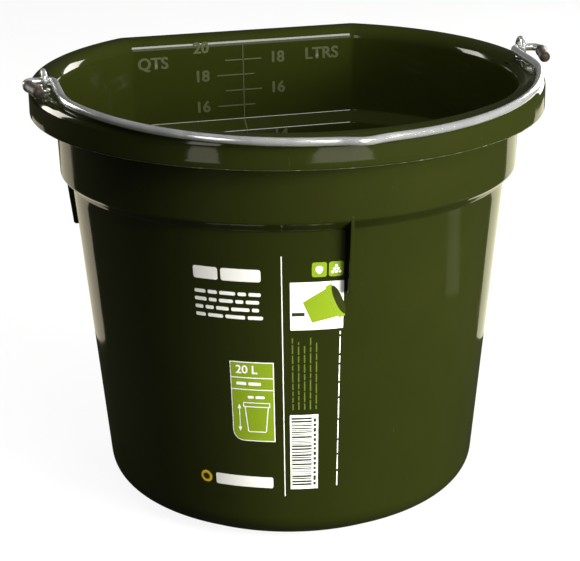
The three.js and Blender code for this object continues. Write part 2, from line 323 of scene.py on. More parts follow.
def finish_of(name, **sockets):
    """A material with one Principled shader, its constant values set on the shader itself."""
    made = bpy.data.materials.new(name)
    made.use_nodes = True
    shader = made.node_tree.nodes["Principled BSDF"]
    for key, value in sockets.items():
        shader.inputs[key.replace("_", " ")].default_value = value
    return made, made.node_tree, shader


def bumped(tree, shader, height, strength, distance):
    """Height into the shader's Normal."""
    made = node(tree, "ShaderNodeBump", in_0=strength, in_1=distance)
    fed(tree, made, Height=height)
    fed(tree, shader, Normal=made.outputs[0])


OLIVE = (0.0142, 0.0176, 0.0026, 1)
OLIVE_DEEP = (0.0118, 0.0148, 0.0021, 1)
OLIVE_LIGHT = (0.024, 0.028, 0.007, 1)
# The pale scuffed olive is wear colour on the tub, and a painted highlight where the lip flash uses
# it.
OLIVE_SCUFF_AND_HIGHLIGHT = (0.046, 0.050, 0.027, 1)

olive, olive_tree, olive_shader = finish_of("olive_plastic", IOR=1.49, Specular_IOR_Level=0.42)
olive_surface = placed(olive_tree, moulded, Wave_Size=13.0, Skin_Size=700.0, Skin_Share=0.004)
olive_wear = placed(olive_tree, wear, Scratch_Size=55.0, Amount=0.30)
olive_specks = noise(olive_tree, own_place(olive_tree), 420.0, 2.0)
olive_specks = ramp(olive_tree, olive_specks, [(0.76, 0.0), (0.80, 1.0)])
olive_colour = mixed(olive_tree, olive_surface.outputs["Patches"], OLIVE, OLIVE_DEEP)
olive_colour = mixed(olive_tree, olive_specks, olive_colour, OLIVE_LIGHT)
olive_colour = mixed(olive_tree, olive_wear.outputs["Marks"], olive_colour, OLIVE_SCUFF_AND_HIGHLIGHT)
olive_rough = ranged(olive_tree, olive_surface.outputs["Patches"], 0.055, 0.10)
olive_rough = sums(olive_tree, "MULTIPLY_ADD", olive_wear.outputs["Scuffs"], 0.22, olive_rough)
fed(olive_tree, olive_shader, Base_Color=olive_colour, Roughness=olive_rough)
bumped(olive_tree, olive_shader, olive_surface.outputs["Height"], 0.5, 0.0011)


def turned_shell(outline):
    """Carries the outline round the bucket and closes the base above and below."""
    rings = [flat_backed(r, RIM_CORNER if z > RIM_LOWEST else TUB_CORNER) for r, z in outline]
    count = len(rings[0])
    verts = [(x, y + AXIS_Y, sunk(y, z)) for ring, (r, z) in zip(rings, outline) for x, y in ring]
    faces = []
    for k in range(len(rings) - 1):
        for i in range(count):
            j = (i + 1) % count
            faces.append((k * count + j, k * count + i, (k + 1) * count + i, (k + 1) * count + j))
    middle_y = AXIS_Y - FLAT_SETBACK / 2
    for ring_index, height, under in ((0, BASE_UNDER, True), (len(rings) - 1, BASE_INSIDE, False)):
        last = ring_index * count
        for share in (0.85, 0.7, 0.55, 0.4, 0.25, 0.1):
            start = len(verts)
            for x, y in rings[ring_index]:
                verts.append((x * share, middle_y + (y + AXIS_Y - middle_y) * share, height))
            for i in range(count):
                j = (i + 1) % count
                quad = (last + i, last + j, start + j, start + i)
                faces.append(quad if under else quad[::-1])
            last = start
        verts.append((0, middle_y, height))
        for i in range(count):
            j = (i + 1) % count
            triangle = (last + i, last + j, len(verts) - 1)
            faces.append(triangle if under else triangle[::-1])
    return verts, faces


shell = piece("bucket_moulding", *turned_shell(shell_outline), olive)
shell_check = bmesh.new()
shell_check.from_mesh(shell.data)
bmesh.ops.recalc_face_normals(shell_check, faces=shell_check.faces)
shell_check.to_mesh(shell.data)
shell_check.free()
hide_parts("bucket_shell")

# ---- Lip flash, with a painted highlight ----
# Where the two halves of the mould met along the lower edge of the rim, a hair of plastic was
# squeezed out and trimmed, which leaves a slightly ragged ridge right round the lip. Its pale
# colour is a painted highlight: the thin light line that the lip's edge catches.

flash, flash_tree, flash_shader = finish_of("olive_flash_and_painted_highlight", IOR=1.49, Specular_IOR_Level=0.5)
flash_ragged = noise(flash_tree, own_place(flash_tree), 260.0, 4.0)
# These pale colours are a painted highlight along the lip's edge, laid over the trimmed flash.
flash_and_highlight_colours = [(0.35, OLIVE_LIGHT), (0.55, OLIVE_SCUFF_AND_HIGHLIGHT), (0.7, (0.14, 0.15, 0.09, 1))]
fed(
    flash_tree,
    flash_shader,
    Base_Color=ramp(flash_tree, flash_ragged, flash_and_highlight_colours),
    Roughness=ranged(flash_tree, flash_ragged, 0.35, 0.7),
)
bumped(flash_tree, flash_shader, flash_ragged, 0.6, 0.0003)

FLASH_RADIUS, FLASH_CORNER, LIP_BOTTOM = 0.18465, 0.0092, 0.28862
flash_rng = random.Random(3)
flash_ring = flat_backed(FLASH_RADIUS, FLASH_CORNER)
flash_verts, flash_faces = [], []
for x, y in flash_ring:
    reach = math.hypot(x, y)
    hang = 0.00012 + 0.00022 * flash_rng.random() ** 3
    for out, down in ((-0.0004, -0.0001), (0.00012, -0.0001), (0.00018, hang), (-0.0002, hang)):
        scale = (reach + out) / reach
        flash_verts.append((x * scale, AXIS_Y + y * scale, LIP_BOTTOM - down))
flash_count = len(flash_ring)
for i in range(flash_count):
    j = (i + 1) % flash_count
    for k in range(4):
        m = (k + 1) % 4
        flash_faces.append((i * 4 + m, i * 4 + k, j * 4 + k, j * 4 + m))
flash_piece = piece("lip_flash", flash_verts, flash_faces, flash)

# ---- Stacking fins ----
# Three thin upright fins under the collar, moulded with the shell. They carry the next bucket in
# a stack so that it does not jam, and their lower corners are rounded so that they leave the mould.

FIN_TOP = 0.250
FIN_ROOT = 0.0012
FIN_HALF = 0.0014


def fin(name, angle):
    """A fin at an angle round the bucket, rooted in the wall and rounded on all its edges."""
    bm = bmesh.new()
    foot = wall_radius(FIN_FOOT)
    outline = [
        (foot - FIN_ROOT, FIN_FOOT),
        (foot + 0.0052, FIN_FOOT),
        (foot + 0.0064, FIN_FOOT + 0.0012),
        (0.1657, FIN_TOP),
        (0.1645, FIN_TOP),
        (wall_radius(0.2393) - FIN_ROOT, 0.2393),
    ]
    sides = []
    for side in (-FIN_HALF, FIN_HALF):
        thinned = [(r, side * (0.85 if r > 0.160 else 1.0), z) for r, z in outline]
        sides.append([bm.verts.new(place) for place in thinned])
    bm.faces.new(sides[0])
    bm.faces.new(sides[1][::-1])
    for i in range(len(outline)):
        j = (i + 1) % len(outline)
        bm.faces.new((sides[0][j], sides[0][i], sides[1][i], sides[1][j]))
    bmesh.ops.recalc_face_normals(bm, faces=bm.faces)
    edges = list(bm.edges)
    bmesh.ops.bevel(
        bm, geom=edges, offset=0.0005, segments=3, profile=0.6, affect="EDGES", clamp_overlap=True
    )
    mesh = bpy.data.meshes.new(name)
    bm.to_mesh(mesh)
    bm.free()
    mesh.transform(Matrix.Rotation(math.radians(angle), 4, "Z"))
    for v in mesh.vertices:
        v.co.z = sunk(v.co.y, v.co.z)
    mesh.transform(Matrix.Translation((0, AXIS_Y, 0)))
    smoothed(mesh)
    mounted(name, mesh, olive)


for fin_angle, fin_name in ((-90, "front"), (17, "right"), (163, "left")):
    fin("stacking_fin_" + fin_name, fin_angle)

# ---- Measuring marks ----
# Thin raised lines moulded on the inside of the flat back, quarts on the left and litres on the
# right. The lines stand 0.3 mm proud, and the figures are matt faces just proud of the wall.

LEDGE_TOP, LEDGE_TOP_RADIUS, COLLAR_SLOPE = 0.2421, 0.1625, 0.0311
LEDGE_LOW, LEDGE_LOW_RADIUS, LEDGE_SLOPE = 0.2341, 0.15458, 0.99
LINE_PROUD, LINE_SUNK, LINE_BEVEL, LINE_HALF = 0.0003, 0.0003, 0.00025, 0.0005
FIGURE_SIZE, UNIT_SIZE, UNIT_Z = 0.0125, 0.0130, 0.2903

marks, marks_tree, marks_shader = finish_of("olive_marks_painted_sheen", IOR=1.49, Specular_IOR_Level=0.5)
marks_surface = placed(marks_tree, moulded, Wave_Size=60.0, Skin_Size=1500.0, Skin_Share=0.3)
marks_patches = marks_surface.outputs["Patches"]
# The marks are the wall's own olive plastic; their lighter base colour is a painted sheen, the light
# that their matt faces catch.
fed(
    marks_tree,
    marks_shader,
    Base_Color=mixed(marks_tree, marks_patches, (0.036, 0.041, 0.016, 1), (0.046, 0.052, 0.022, 1)),
    Roughness=ranged(marks_tree, marks_patches, 0.38, 0.55),
)
bumped(marks_tree, marks_shader, marks_surface.outputs["Height"], 0.4, 0.0004)


def inner_radius(z):
    """Radius of the inside of the back at a height, above or below the ledge."""
    if z > LEDGE_TOP:
        return LEDGE_TOP_RADIUS + (z - LEDGE_TOP) * COLLAR_SLOPE
    if z > LEDGE_LOW:
        return LEDGE_LOW_RADIUS + (z - LEDGE_LOW) * LEDGE_SLOPE
    fuller = 0.0006 * max(0.0, (z - FIN_FOOT) / 0.039)
    return min(wall_radius(z, WALL) + fuller, LEDGE_LOW_RADIUS)


def on_flat(x, z, proud):
    """A place on the inside of the flat back."""
    return (x, AXIS_Y + inner_radius(z) - FLAT_SETBACK - proud, z)


def mark_bar(bm, x0, x1, z0, z1):
    """A raised bar with sloping sides, following the flat's lean."""
    steps = max(1, math.ceil((z1 - z0) / 0.004))
    rows = []
    for i in range(steps + 1):
        z = z0 + (z1 - z0) * i / steps
        row = (
            (x0, -LINE_SUNK),
            (x0 + LINE_BEVEL, LINE_PROUD),
            (x1 - LINE_BEVEL, LINE_PROUD),
            (x1, -LINE_SUNK),
        )
        rows.append([bm.verts.new(on_flat(x, z, proud)) for x, proud in row])
    for a, b in zip(rows, rows[1:]):
        for i in range(3):
            bm.faces.new((a[i], a[i + 1], b[i + 1], b[i]))
    bm.faces.new(rows[0])
    bm.faces.new(rows[-1][::-1])


def figure_shape(text, size):
    """The outline of a figure or letters as a flat mesh, its middle at the origin."""
    curve = bpy.data.curves.new("figure", "FONT")
    curve.body = text
    curve.size = size
    curve.align_x = "CENTER"
    curve.align_y = "CENTER"
    curve.resolution_u = 4
    curve.offset = size * 0.020
    maker = bpy.data.objects.new("figure", curve)
    bpy.context.collection.objects.link(maker)
    bpy.context.view_layer.update()
    mesh = bpy.data.meshes.new_from_object(maker)
    bpy.data.objects.remove(maker)
    bpy.data.curves.remove(curve)
    return mesh


marks_mesh = bmesh.new()
for low_end, high_end in ((0.060, 0.2338), (0.2348, 0.2412), (0.2432, 0.3010)):
    mark_bar(marks_mesh, -0.0006, 0.0006, low_end, high_end)
litre_lines = {
    18: 0.2896, 16: 0.2652, 14: 0.2285, 12: 0.2080, 10: 0.1815, 8: 0.1535, 6: 0.1240, 4: 0.0925
}
quart_lines = {
    18: 0.2777, 16: 0.2530, 14: 0.2240, 12: 0.1990, 10: 0.1725, 8: 0.1455, 6: 0.1170, 4: 0.0880
}
figures = [("20", -0.0338, 0.3005, FIGURE_SIZE)]
for lines, x0, x1, figure_x in (
    (litre_lines, -0.0150, 0.0152, 0.0277),
    (quart_lines, -0.0216, 0.0092, -0.0338),
):
    for amount, height in lines.items():
        mark_bar(marks_mesh, x0, x1, height - LINE_HALF, height + LINE_HALF)
        figures.append((str(amount), figure_x, height, FIGURE_SIZE))
figures += [("QTS", -0.0726, UNIT_Z, UNIT_SIZE), ("LTRS", 0.0647, UNIT_Z, UNIT_SIZE)]
bmesh.ops.recalc_face_normals(marks_mesh, faces=marks_mesh.faces)
for text, at_x, at_z, size in figures:
    flat = figure_shape(text, size)
    for bold, proud in ((-0.00022, 0.00020), (0.00022, 0.00028)):
        first = len(marks_mesh.verts)
        marks_mesh.from_mesh(flat)
        marks_mesh.verts.ensure_lookup_table()
        for v in marks_mesh.verts[first:]:
            v.co = Vector(on_flat(at_x + bold + v.co.x, at_z + v.co.y, proud))
    bpy.data.meshes.remove(flat)
marks_data = bpy.data.meshes.new("measuring_marks")
marks_mesh.to_mesh(marks_data)
marks_mesh.free()
mounted("measuring_marks", marks_data, marks)

# ---- Printed artwork ----
# Screen-printed ink on the front of the tub: white lines and panels, a leaf-green size box and two
# small green squares. The ink is a thin film with slightly soft gloss, laid over the curved wall.
# Places on the print are in millimetres: s runs round the wall and z up it.

INK_LIFT, LAYER = 0.00012, 0.00007
INK_RADIUS = 0.150


def on_wall(s, z, lift):
    """A place on the front of the wall; s runs round it from the front middle, at INK_RADIUS."""
    turn = s / INK_RADIUS - math.pi / 2
    r = wall_radius(z) + lift
    return (r * math.cos(turn), AXIS_Y + r * math.sin(turn), z)


def ink_of(name, colour, rough):
    """Printing ink: even colour with pinholes and thin places, a fine screen texture."""
    made, tree, shader = finish_of(name, IOR=1.47, Specular_IOR_Level=0.35)
    surface = placed(tree, moulded, Wave_Size=40.0, Skin_Size=1800.0, Skin_Share=0.5)
    rubbed = placed(tree, wear, Scratch_Size=90.0, Amount=0.35)
    thin = tuple(c * 0.86 for c in colour[:3]) + (1,)
    patches = surface.outputs["Patches"]
    base = mixed(tree, patches, colour, thin)
    base = mixed(tree, rubbed.outputs["Marks"], base, OLIVE)
    fed(tree, shader, Base_Color=base, Roughness=ranged(tree, patches, rough, rough + 0.12))
    bumped(tree, shader, surface.outputs["Height"], 0.25, 0.0003)
    return made


white_ink = ink_of("white_ink", (0.80, 0.80, 0.76, 1), 0.36)
green_ink = ink_of("leaf_green_ink", (0.185, 0.275, 0.012, 1), 0.34)
dark_ink = ink_of("dark_ink", (0.022, 0.027, 0.006, 1), 0.36)
yellow_ink = ink_of("yellow_ink", (0.68, 0.46, 0.02, 1), 0.36)
faint_ink = ink_of("faint_green_ink", (0.085, 0.120, 0.022, 1), 0.36)


def printed(name, loops, ink, layer=0, meshes=()):
    """Flat shapes, as loops of (s, z) in millimetres, wrapped onto the wall as one film."""
    bm = bmesh.new()
    for loop in loops:
        bm.faces.new([bm.verts.new((s, z, 0)) for s, z in loop])
    for mesh, (s, z) in meshes:
        start = len(bm.verts)
        bm.from_mesh(mesh)
        bm.verts.ensure_lookup_table()
        for v in bm.verts[start:]:
            v.co = (s + v.co.x * 1000, z + v.co.y * 1000, 0)
    for axis, step in ((0, 2), (1, 12)):
        cut = math.ceil(min(v.co[axis] for v in bm.verts) / step) * step
        high = max(v.co[axis] for v in bm.verts)
        while cut < high:
            bmesh.ops.bisect_plane(
                bm,
                geom=list(bm.verts) + list(bm.edges) + list(bm.faces),
                plane_co=(0, cut, 0) if axis else (cut, 0, 0),
                plane_no=(0, 1, 0) if axis else (1, 0, 0),
            )
            cut += step
    for v in bm.verts:
        v.co = on_wall(v.co.x / 1000, v.co.y / 1000, INK_LIFT + layer * LAYER)
    for f in bm.faces:
        f.normal_update()
        outward = Vector((f.calc_center_median().x, f.calc_center_median().y - AXIS_Y, 0))
        if f.normal.dot(outward) < 0:
            f.normal_flip()
    data = bpy.data.meshes.new(name)
    bm.to_mesh(data)
    bm.free()
    smoothed(data)
    mounted(name, data, ink)


def bar(s0, s1, z0, z1, soft=0.0):
    """A rectangle, its corners cut round by soft."""
    if soft <= 0:
        return [(s0, z0), (s1, z0), (s1, z1), (s0, z1)]
    corners = (
        (s1 - soft, z0 + soft, -90),
        (s1 - soft, z1 - soft, 0),
        (s0 + soft, z1 - soft, 90),
        (s0 + soft, z0 + soft, 180),
    )
    loop = []
    for cs, cz, start in corners:
        for t in np.radians(np.linspace(start, start + 90, 5)):
            loop.append((cs + soft * math.cos(t), cz + soft * math.sin(t)))
    return loop


def full_turn(steps):
    """Angles all round."""
    return np.linspace(0, 2 * math.pi, steps + 1)[:-1]


def round_mark(s, z, radius, steps=28):
    """A disc."""
    return [(s + radius * math.cos(t), z + radius * math.sin(t)) for t in full_turn(steps)]


def words(start, stop, middle, tall, gap=1.6, shortest=5, longest=14, upright=False):
    """Bars of uneven length in a row or, upright, up the wall, in place of a line of small print."""
    row = []
    while start < stop - 2:
        length = min(rng.uniform(shortest, longest), stop - start)
        along = (start, start + length)
        across = (middle - tall / 2, middle + tall / 2)
        row.append(bar(*(across + along if upright else along + across), tall * 0.35))
        start += length + gap
    return row


PER_DEGREE = INK_RADIUS * 1000 * math.pi / 180
rng = random.Random(7)
left = -39.0 * PER_DEGREE
right = -20.4 * PER_DEGREE
title_bars = [
    bar(left, left + 17, 203.2, 212.2, 1.6),
    bar(left + 19, left + 45.5, 203.2, 212.2, 1.6),
]
printed("print_title_bars", title_bars, white_ink)
text_rows = []
for row_z, row_end in ((194.0, 0.93), (188.3, 0.97), (182.6, 0.90), (176.9, 0.96)):
    text_rows += words(left, left + (right - left) * row_end, row_z, 2.6)
printed("print_text_bars", text_rows, white_ink)

divider_s = -16.5 * PER_DEGREE
printed("print_divider", [bar(divider_s - 0.35, divider_s + 0.35, 40, 222)], white_ink)

box_l, box_r, box_b, box_t = -30.6 * PER_DEGREE, -18.9 * PER_DEGREE, 83.0, 144.0


def size_panel(edge):
    """The size box, this far inside its outer edge, with one corner rounded."""
    sides = [(box_r - edge, box_b + edge), (box_r - edge, box_t - edge), (box_l + edge, box_t - edge)]
    reach = 8 - edge
    rounding = [
        (box_l + 8 - reach * math.cos(t), box_b + 8 - reach * math.sin(t))
        for t in np.linspace(0.15, 1.42, 7)
    ]
    return [(box_l + 8, box_b + edge)] + sides + [(box_l + edge, box_b + 8)] + rounding


printed("print_size_box_edge", [size_panel(0)], white_ink)
printed("print_size_box", [size_panel(0.7)], green_ink, 1)
pail_s = (box_l + box_r) / 2 + 2.5
pail_lines = [
    bar(box_l, box_r, 131.6, 132.3),
    bar(box_l, box_r, 122.6, 123.3),
    [(pail_s - 8.6, 109.8), (pail_s - 7.9, 109.8), (pail_s - 6.1, 90.8), (pail_s - 6.8, 90.8)],
    [(pail_s + 7.9, 109.8), (pail_s + 8.6, 109.8), (pail_s + 6.8, 90.8), (pail_s + 6.1, 90.8)],
    bar(pail_s - 6.3, pail_s + 6.3, 90.2, 90.9),
    bar(pail_s - 9.6, pail_s + 9.6, 112.6, 113.2),
    bar(pail_s - 9.6, pail_s + 9.6, 109.5, 110.1),
    bar(pail_s - 9.6, pail_s - 9.0, 109.5, 113.2),
    bar(pail_s + 9.0, pail_s + 9.6, 109.5, 113.2),
    bar(box_l + 5.2, box_l + 5.7, 93.4, 108.6),
    [(box_l + 5.45, 90.4), (box_l + 6.9, 93.9), (box_l + 4.0, 93.9)],
    [(box_l + 5.45, 111.6), (box_l + 4.0, 108.1), (box_l + 6.9, 108.1)],
]
pail_lines += words(box_l + 4, box_r - 8, 127.4, 2.4, 1.4, 6, 9)
pail_lines += words(pail_s - 6, pail_s + 6, 117.2, 2.0, 1.4, 4, 7)
printed(
    "print_size_drawing",
    pail_lines,
    white_ink,
    2,
    meshes=[(figure_shape("20 L", 0.0086), (box_l + 11.5, 137.8))],
)

ring_s, ring_z = -41.2 * PER_DEGREE + 4.2, 50.6
printed("print_ring_mark", [round_mark(ring_s, ring_z, 4.6)], yellow_ink)
printed("print_ring_mark_middle", [round_mark(ring_s, ring_z, 2.5)], dark_ink, 1)
lower_bar = bar(-36.6 * PER_DEGREE, -19.8 * PER_DEGREE, 46.2, 54.8, 1.4)
printed("print_lower_bar", [lower_bar], white_ink)

for number, (start, stop) in enumerate(((-9.1, -5.4), (-4.9, -1.2)), 1):
    square = bar(start * PER_DEGREE, stop * PER_DEGREE, 206.6, 217.2, 1.6)
    printed("print_square_%d" % number, [square], green_ink)
drop_s, grain_s = -7.25 * PER_DEGREE, -3.05 * PER_DEGREE
drop = [
    (drop_s + 2.3 * math.sin(t) * (1 - 0.35 * math.cos(t)), 211.2 - 2.9 * math.cos(t) + 0.5)
    for t in full_turn(24)
]
printed("print_drop", [drop], white_ink, 1)
heap = ((-2.4, 0), (0, 0), (2.4, 0), (-1.2, 2.2), (1.2, 2.2), (0, 4.3))
grains = [round_mark(grain_s + ds, 209.8 + dz, 1.05, 14) for ds, dz in heap]
printed("print_grain", grains, white_ink, 1)

panel_l, panel_r = -14.5 * PER_DEGREE, -1.0 * PER_DEGREE
printed("print_panel", [bar(panel_l, panel_r, 168.2, 203.2, 0.4)], white_ink)
tilted = math.radians(-68)


def tilted_loop(points):
    """Turns a drawing of a bucket on its side and puts it in the panel."""
    c, s = math.cos(tilted), math.sin(tilted)
    return [(panel_l + 22.5 + x * c - y * s, 185.6 + x * s + y * c) for x, y in points]


printed("print_panel_bucket", [
    tilted_loop([(-8.2, -12), (8.2, -12), (11.2, 5.5), (-11.2, 5.5)]),
    tilted_loop([(-12.6, 5.6), (12.6, 5.6), (12.9, 10.0), (-12.9, 10.0)]),
], green_ink, 1)
printed("print_panel_mouth", [
    tilted_loop([(11.4 * math.cos(t), 10.2 + 2.6 * math.sin(t)) for t in full_turn(28)]),
    bar(panel_l + 1.2, panel_l + 9.5, 178.6, 181.2),
], dark_ink, 2)

small_rows = []
for index in range(5):
    row_top = 162.5 - 3 * (index % 3)
    row_s = (-14.0 + index * 1.55) * PER_DEGREE
    small_rows += words(108.0, row_top, row_s, 0.95, 1.0, 3, 9, upright=True)
printed("print_small_text", small_rows, faint_ink)
edge_rows = words(46.5, 166.0, -1.7 * PER_DEGREE, 0.8, 1.5, 5, 16, upright=True)
printed("print_edge_text", edge_rows, white_ink)

stripe_l, stripe_r, stripe_b, stripe_t = -14.9 * PER_DEGREE, -7.2 * PER_DEGREE, 45.6, 104.0
printed("print_stripe_panel", [bar(stripe_l, stripe_r, stripe_b, stripe_t)], white_ink)
stripes = []
stripe_z = stripe_b + 3
while stripe_z < stripe_t - 3.4:
    thick = rng.choice((0.5, 0.5, 0.9, 1.4))
    stripes.append(bar(stripe_l + 1.2, stripe_r - 4.6, stripe_z, stripe_z + thick))
    stripe_z += thick + rng.choice((0.6, 0.9, 1.3))
stripes += words(stripe_b + 3, stripe_t - 3, stripe_r - 2.4, 1.9, 1.3, 2, 5, upright=True)
printed("print_stripes", stripes, dark_ink, 1)

# ---- Eye bolts ----
# Two forged steel eye bolts, bright zinc plated, stand on the rim at the ends of the bail's pivot
# line. Each has a round eye, a small shoulder and a threaded shank that goes down through the rim.

pivot = Vector(frame["record"]["behaviour"]["joints"][0]["pos_m"])
EYE_X, EYE_Z = 0.176, 0.3184
EYE_RADIUS, EYE_WIRE = 0.006, 0.00188
SHANK_RADIUS, THREAD_PITCH = 0.0025, 0.0008
GAP = 0.0003

zinc, zinc_tree, zinc_shader = finish_of("zinc_steel", Anisotropic=0.25)
zinc_surface = placed(zinc_tree, moulded, Wave_Size=45.0, Skin_Size=1800.0, Skin_Share=0.03)
zinc_wear = placed(zinc_tree, wear, Scratch_Size=160.0, Amount=0.35)
zinc_tone = noise(zinc_tree, own_place(zinc_tree), 60.0, 3.0)
zinc_film = ramp(
    zinc_tree,
    zinc_tone,
    [(0.3, (0.60, 0.66, 0.74, 1)), (0.5, (0.70, 0.71, 0.70, 1)), (0.72, (0.66, 0.62, 0.50, 1))],
)
zinc_colour = mixed(
    zinc_tree, zinc_surface.outputs["Patches"], (0.80, 0.82, 0.84, 1), (0.72, 0.74, 0.74, 1)
)
zinc_colour = mixed(zinc_tree, 0.2, zinc_colour, zinc_film)
zinc_colour = mixed(zinc_tree, zinc_wear.outputs["Marks"], zinc_colour, (0.33, 0.32, 0.30, 1))
fed(
    zinc_tree,
    zinc_shader,
    Base_Color=zinc_colour,
    Roughness=ranged(zinc_tree, zinc_tone, 0.16, 0.22, 0.3, 0.7),
    Metallic=ranged(zinc_tree, zinc_tone, 0.86, 0.80, 0.3, 0.7),
)
bumped(zinc_tree, zinc_shader, zinc_surface.outputs["Height"], 0.3, 0.0002)


def skin(rows, around, closed=False):
    """Faces between rows of points, each row a ring."""
    faces = []
    for a in range(rows if closed else rows - 1):
        b = (a + 1) % rows
        for k in range(around):
            j = (k + 1) % around
            faces.append((a * around + k, a * around + j, b * around + j, b * around + k))
    return faces


def ends(rows, around):
    """Faces that close the first and the last ring."""
    last = (rows - 1) * around
    return [tuple(range(around))[::-1], tuple(last + k for k in range(around))]


def turned_piece(outline, steps, at=(0, 0, 0)):
    """Revolves an outline of (radius, height) points about an upright axis."""
    verts = []
    for r, z in outline:
        for t in full_turn(steps):
            verts.append((at[0] + r * math.cos(t), at[1] + r * math.sin(t), at[2] + z))
    return verts, skin(len(outline), steps)


def join(*parts):
    """Several (verts, faces) lists as one."""
    verts, faces = [], []
    for part_verts, part_faces in parts:
        start = len(verts)
        verts += part_verts
        faces += [tuple(i + start for i in f) for f in part_faces]
    return verts, faces


def swept(path, radius, around=24, closed=False):
    """A round bar along a path of points, its ends closed."""
    path = [Vector(p) for p in path]
    count = len(path)
    verts = []
    ahead = [path[(i + 1) % count] - path[i - 1] for i in range(count)]
    if not closed:
        ahead[0] = path[1] - path[0]
        ahead[-1] = path[-1] - path[-2]
    ahead = [a.normalized() for a in ahead]
    side = ahead[0].orthogonal().normalized()
    for i in range(count):
        side = (side - ahead[i] * side.dot(ahead[i])).normalized()
        other = ahead[i].cross(side)
        for t in full_turn(around):
            out = side * (radius * math.cos(t)) + other * (radius * math.sin(t))
            verts.append(tuple(path[i] + out))
    faces = skin(count, around, closed)
    return verts, faces if closed else faces + ends(count, around)


def thread(radius, bottom, top, pitch, at):
    """A screw thread on an upright rod."""
    around = 32
    depth = pitch * 0.45
    rows = math.ceil((top - bottom) / (pitch / 8))
    verts = []
    for row in range(rows + 1):
        z = bottom + (top - bottom) * row / rows
        run_out = 0.0004 * (1 - min(1.0, (z - bottom) / 0.0008))
        for k in range(around):
            turn = k / around
            phase = ((z - bottom) / pitch - turn) % 1.0
            cut = depth * min(1.0, abs(phase - 0.5) * 2.4)
            r = radius - cut * 0.5 - run_out
            t = 2 * math.pi * turn
            verts.append((at[0] + r * math.cos(t), at[1] + r * math.sin(t), z))
    return verts, skin(rows + 1, around) + ends(rows + 1, around)


shoulder_outline = [
    (0.0, 0.0),
    (0.0034, 0.0),
    (0.0040, 0.0004),
    (0.0040, 0.0011),
    (0.0036, 0.0016),
    (0.0026, 0.0022),
    (0.0020, 0.0034),
    (0.0, 0.0036),
]
for hand, side in (("left", -1), ("right", 1)):
    at = (side * EYE_X, pivot.y)
    ring_path = [
        (at[0], at[1] + EYE_RADIUS * math.sin(t), EYE_Z + EYE_RADIUS * math.cos(t))
        for t in full_turn(64)
    ]
    shoulder_bottom = shell_high.z + GAP
    shank_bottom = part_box("eye_bolt_" + hand)[0].z
    bolt = join(
        swept(ring_path, EYE_WIRE, 22, closed=True),
        turned_piece(shoulder_outline, 36, (at[0], at[1], shoulder_bottom)),
        thread(SHANK_RADIUS, shank_bottom, shoulder_bottom + 0.0004, THREAD_PITCH, at),
    )
    item = piece("eye_bolt_%s_forged" % hand, *bolt, zinc)
    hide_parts("eye_bolt_" + hand)

# ---- Washers and nuts ----
# Inside the rim's channel a punched steel washer and a hexagon nut on each eye bolt draw it tight
# against the boss that is moulded there.


def washer_shape(node_name):
    """A punched washer with one rolled and one sharp edge, where its CAD solid is."""
    low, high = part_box(node_name)
    middle = (low + high) / 2
    outer = (high.x - low.x) / 2
    thick = high.z - low.z
    hole = 0.0028
    outline = [
        (hole, 0.0001),
        (hole + 0.0001, 0.0),
        (outer - 0.0001, 0.0),
        (outer, 0.0001),
        (outer, thick - 0.0004),
        (outer - 0.00012, thick - 0.00012),
        (outer - 0.0004, thick),
        (hole + 0.0003, thick),
        (hole, thick - 0.0003),
        (hole, 0.0001),
    ]
    return turned_piece(outline, 48, (middle.x, middle.y, low.z))


def nut_shape(node_name):
    """A hexagon nut with chamfered corners and a countersunk bore, its thread not modelled."""
    low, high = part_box(node_name)
    middle = (low + high) / 2
    flats = (high.x - low.x) / 2
    tall = high.z - low.z
    around = 72
    bore, countersunk = 0.00275, 0.00315
    chamfer = 0.0006

    def hexagon(t, limit):
        """Radius of the hexagon at an angle, cut off at a limit."""
        edge = flats / math.cos(((t + math.pi / 6) % (math.pi / 3)) - math.pi / 6)
        return min(edge, limit)

    levels = [
        (0.0, lambda t: countersunk),
        (0.0, lambda t: hexagon(t, flats * 0.96)),
        (chamfer * 0.5, lambda t: hexagon(t, flats * 1.06)),
        (chamfer, lambda t: hexagon(t, flats * 1.16)),
        (tall - chamfer, lambda t: hexagon(t, flats * 1.16)),
        (tall - chamfer * 0.5, lambda t: hexagon(t, flats * 1.06)),
        (tall, lambda t: hexagon(t, flats * 0.96)),
        (tall, lambda t: countersunk),
        (tall - 0.0004, lambda t: bore),
        (0.0004, lambda t: bore),
        (0.0, lambda t: countersunk),
    ]
    verts = []
    for z, reach in levels:
        for t in full_turn(around):
            r = reach(t)
            verts.append((middle.x + r * math.cos(t), middle.y + r * math.sin(t), low.z + z))
    return verts, skin(len(levels), around)


for hand in ("left", "right"):
    node_name = "nut_washer_" + hand
    item = piece(node_name + "_punched", *washer_shape(node_name), zinc)
    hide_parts(node_name)
    item = piece("hex_nut_%s_threaded" % hand, *nut_shape("hex_nut_" + hand), zinc)
    item.data.polygons.foreach_set("use_smooth", [False] * len(item.data.polygons))
    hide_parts("hex_nut_" + hand)

# ---- Bosses under the rim ----
# A square block of plastic is moulded in the rim's channel under each eye bolt, so that the nut
# pulls against solid plastic and not against the thin rim.

BOSS_INNER, BOSS_OUTER = 0.1658, 0.1835
BOSS_BOTTOM, BOSS_TOP = 0.298, 0.3075
BOSS_LENGTH = 0.014

